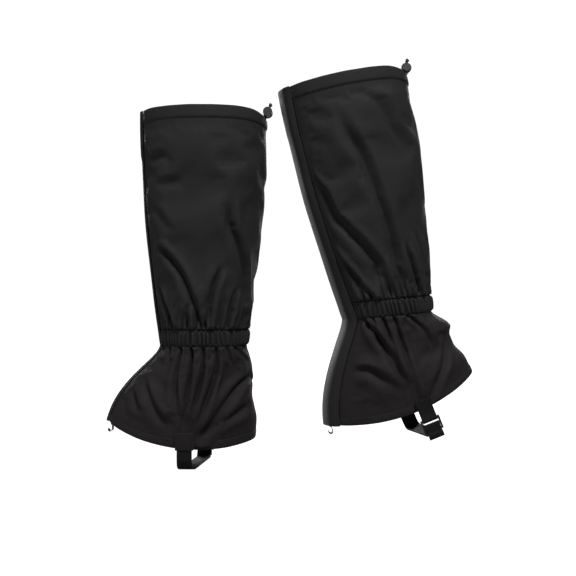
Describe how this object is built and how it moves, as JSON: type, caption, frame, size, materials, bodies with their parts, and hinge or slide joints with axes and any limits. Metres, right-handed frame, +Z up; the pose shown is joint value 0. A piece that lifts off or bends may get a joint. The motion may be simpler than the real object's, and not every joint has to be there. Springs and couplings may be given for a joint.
{
  "type": "pair of gaiters",
  "caption": "Pair of high gaiters with a gathered ankle, a front storm flap, a drawcord and cord lock at the calf, a lace hook and a buckled under-foot strap; one leg leans forward.",
  "frame": {"origin": "on the ground, under the middle of the pair", "axes": "+Z up, -X to the toes, so the heels face +X; +Y is the right gaiter's outer side and -Y the left gaiter's outer side"},
  "size_m": [0.4971, 0.1514, 0.5498],
  "materials": {
    "calf_cloth": "woven charcoal nylon, matt",
    "boot_cloth": "heavy warm black coated nylon, matt",
    "flap_cloth": "heavy coated nylon with a slight sheen",
    "binding": "folded grosgrain binding",
    "webbing": "ribbed nylon webbing",
    "elastic": "ribbed woven elastic",
    "hook_tape": "hook tape",
    "loop_tape": "fuzzy loop tape",
    "cord": "braided cord",
    "moulded_plastic": "moulded dark grey acetal",
    "button_plastic": "lighter grey, slightly translucent",
    "spring_steel": "bright spring wire",
    "hook_metal": "black oxide"
  },
  "bodies": {
    "right_storm_flap": {"right_storm_flap": "flap_cloth", "right_loop_strip": "loop_tape"},
    "right_cord_lock": {"right_cord_lock_body": "moulded_plastic", "right_cord_lock_spring": "spring_steel"},
    "right_cord_button": {"right_cord_lock_button": "button_plastic"},
    "right_buckle": {"right_buckle": "moulded_plastic"},
    "right_lace_hook": {"right_lace_hook": "hook_metal"},
    "right_gaiter": {"right_calf_panel": "calf_cloth", "right_top_hem": "calf_cloth", "right_drawcord": "cord", "right_cord_end": "moulded_plastic", "right_ankle_channel": "calf_cloth", "right_ankle_elastic": "elastic", "right_toe_panel_outer": "boot_cloth", "right_toe_panel_inner": "boot_cloth", "right_heel_panel": "boot_cloth", "right_bottom_hem": "binding", "right_storm_flap_toe": "flap_cloth", "right_hook_strip": "hook_tape", "right_loop_strip_toe": "loop_tape", "right_lace_hook_tab": "webbing", "right_strap_anchor_patch": "webbing", "right_foot_strap": "webbing", "right_buckle_tab": "webbing"},
    "left_storm_flap": {"left_storm_flap": "flap_cloth", "left_loop_strip": "loop_tape"},
    "left_cord_lock": {"left_cord_lock_body": "moulded_plastic", "left_cord_lock_spring": "spring_steel"},
    "left_cord_button": {"left_cord_lock_button": "button_plastic"},
    "left_buckle": {"left_buckle": "moulded_plastic"},
    "left_lace_hook": {"left_lace_hook": "hook_metal"},
    "left_gaiter": {"left_calf_panel": "calf_cloth", "left_top_hem": "calf_cloth", "left_drawcord": "cord", "left_cord_end": "moulded_plastic", "left_ankle_channel": "calf_cloth", "left_ankle_elastic": "elastic", "left_toe_panel_outer": "boot_cloth", "left_toe_panel_inner": "boot_cloth", "left_heel_panel": "boot_cloth", "left_bottom_hem": "binding", "left_storm_flap_toe": "flap_cloth", "left_hook_strip": "hook_tape", "left_loop_strip_toe": "loop_tape", "left_lace_hook_tab": "webbing", "left_strap_anchor_patch": "webbing", "left_foot_strap": "webbing", "left_buckle_tab": "webbing"}
  },
  "joints": [
    {"name": "right_flap_hinge", "type": "hinge", "parent": "right_gaiter", "child": "right_storm_flap", "pos_m": [-0.19073, 0.00654, 0.338], "axis": [-0.0774, 0.0003, 0.997], "range_deg": [0, 100]},
    {"name": "right_cord_lock_slide", "type": "slide", "parent": "right_gaiter", "child": "right_cord_lock", "axis": [0.342, 0, 0.9397], "range_m": [-0.002, 0.002]},
    {"name": "right_cord_button_press", "type": "slide", "parent": "right_cord_lock", "child": "right_cord_button", "axis": [0, -1, 0], "range_m": [0, 0.003], "stiffness_N_per_m": 250, "springref_m": -0.001, "deforming": ["right_cord_lock_spring"]},
    {"name": "right_buckle_pivot", "type": "hinge", "parent": "right_gaiter", "child": "right_buckle", "pos_m": [-0.1185, 0.0723, 0.0245], "axis": [1, 0, 0], "range_deg": [-10, 50], "deforming": ["right_foot_strap"]},
    {"name": "right_lace_hook_pivot", "type": "hinge", "parent": "right_gaiter", "child": "right_lace_hook", "pos_m": [-0.2396, 0.015, 0.056], "axis": [0, 1, 0], "range_deg": [-40, 55]},
    {"name": "left_flap_hinge", "type": "hinge", "parent": "left_gaiter", "child": "left_storm_flap", "pos_m": [0.02607, -0.00654, 0.36518], "axis": [0.2688, 0.0003, -0.9632], "range_deg": [0, 50]},
    {"name": "left_cord_lock_slide", "type": "slide", "parent": "left_gaiter", "child": "left_cord_lock", "axis": [0.1564, 0, 0.9877], "range_m": [-0.002, 0.002]},
    {"name": "left_cord_button_press", "type": "slide", "parent": "left_cord_lock", "child": "left_cord_button", "axis": [0, 1, 0], "range_m": [0, 0.003], "stiffness_N_per_m": 250, "springref_m": -0.001, "deforming": ["left_cord_lock_spring"]},
    {"name": "left_buckle_pivot", "type": "hinge", "parent": "left_gaiter", "child": "left_buckle", "pos_m": [0.18338, -0.0723, 0.07445], "axis": [-0.9272, 0, -0.3746], "range_deg": [-10, 50], "deforming": ["left_foot_strap"]},
    {"name": "left_lace_hook_pivot", "type": "hinge", "parent": "left_gaiter", "child": "left_lace_hook", "pos_m": [0.0593, -0.015, 0.05829], "axis": [0, 1, 0], "range_deg": [-40, 55]},
    {"name": "left_gaiter_stride", "type": "slide", "parent": "right_gaiter", "child": "left_gaiter", "axis": [1, 0, 0], "range_m": [0, 0.12]}
  ]
}
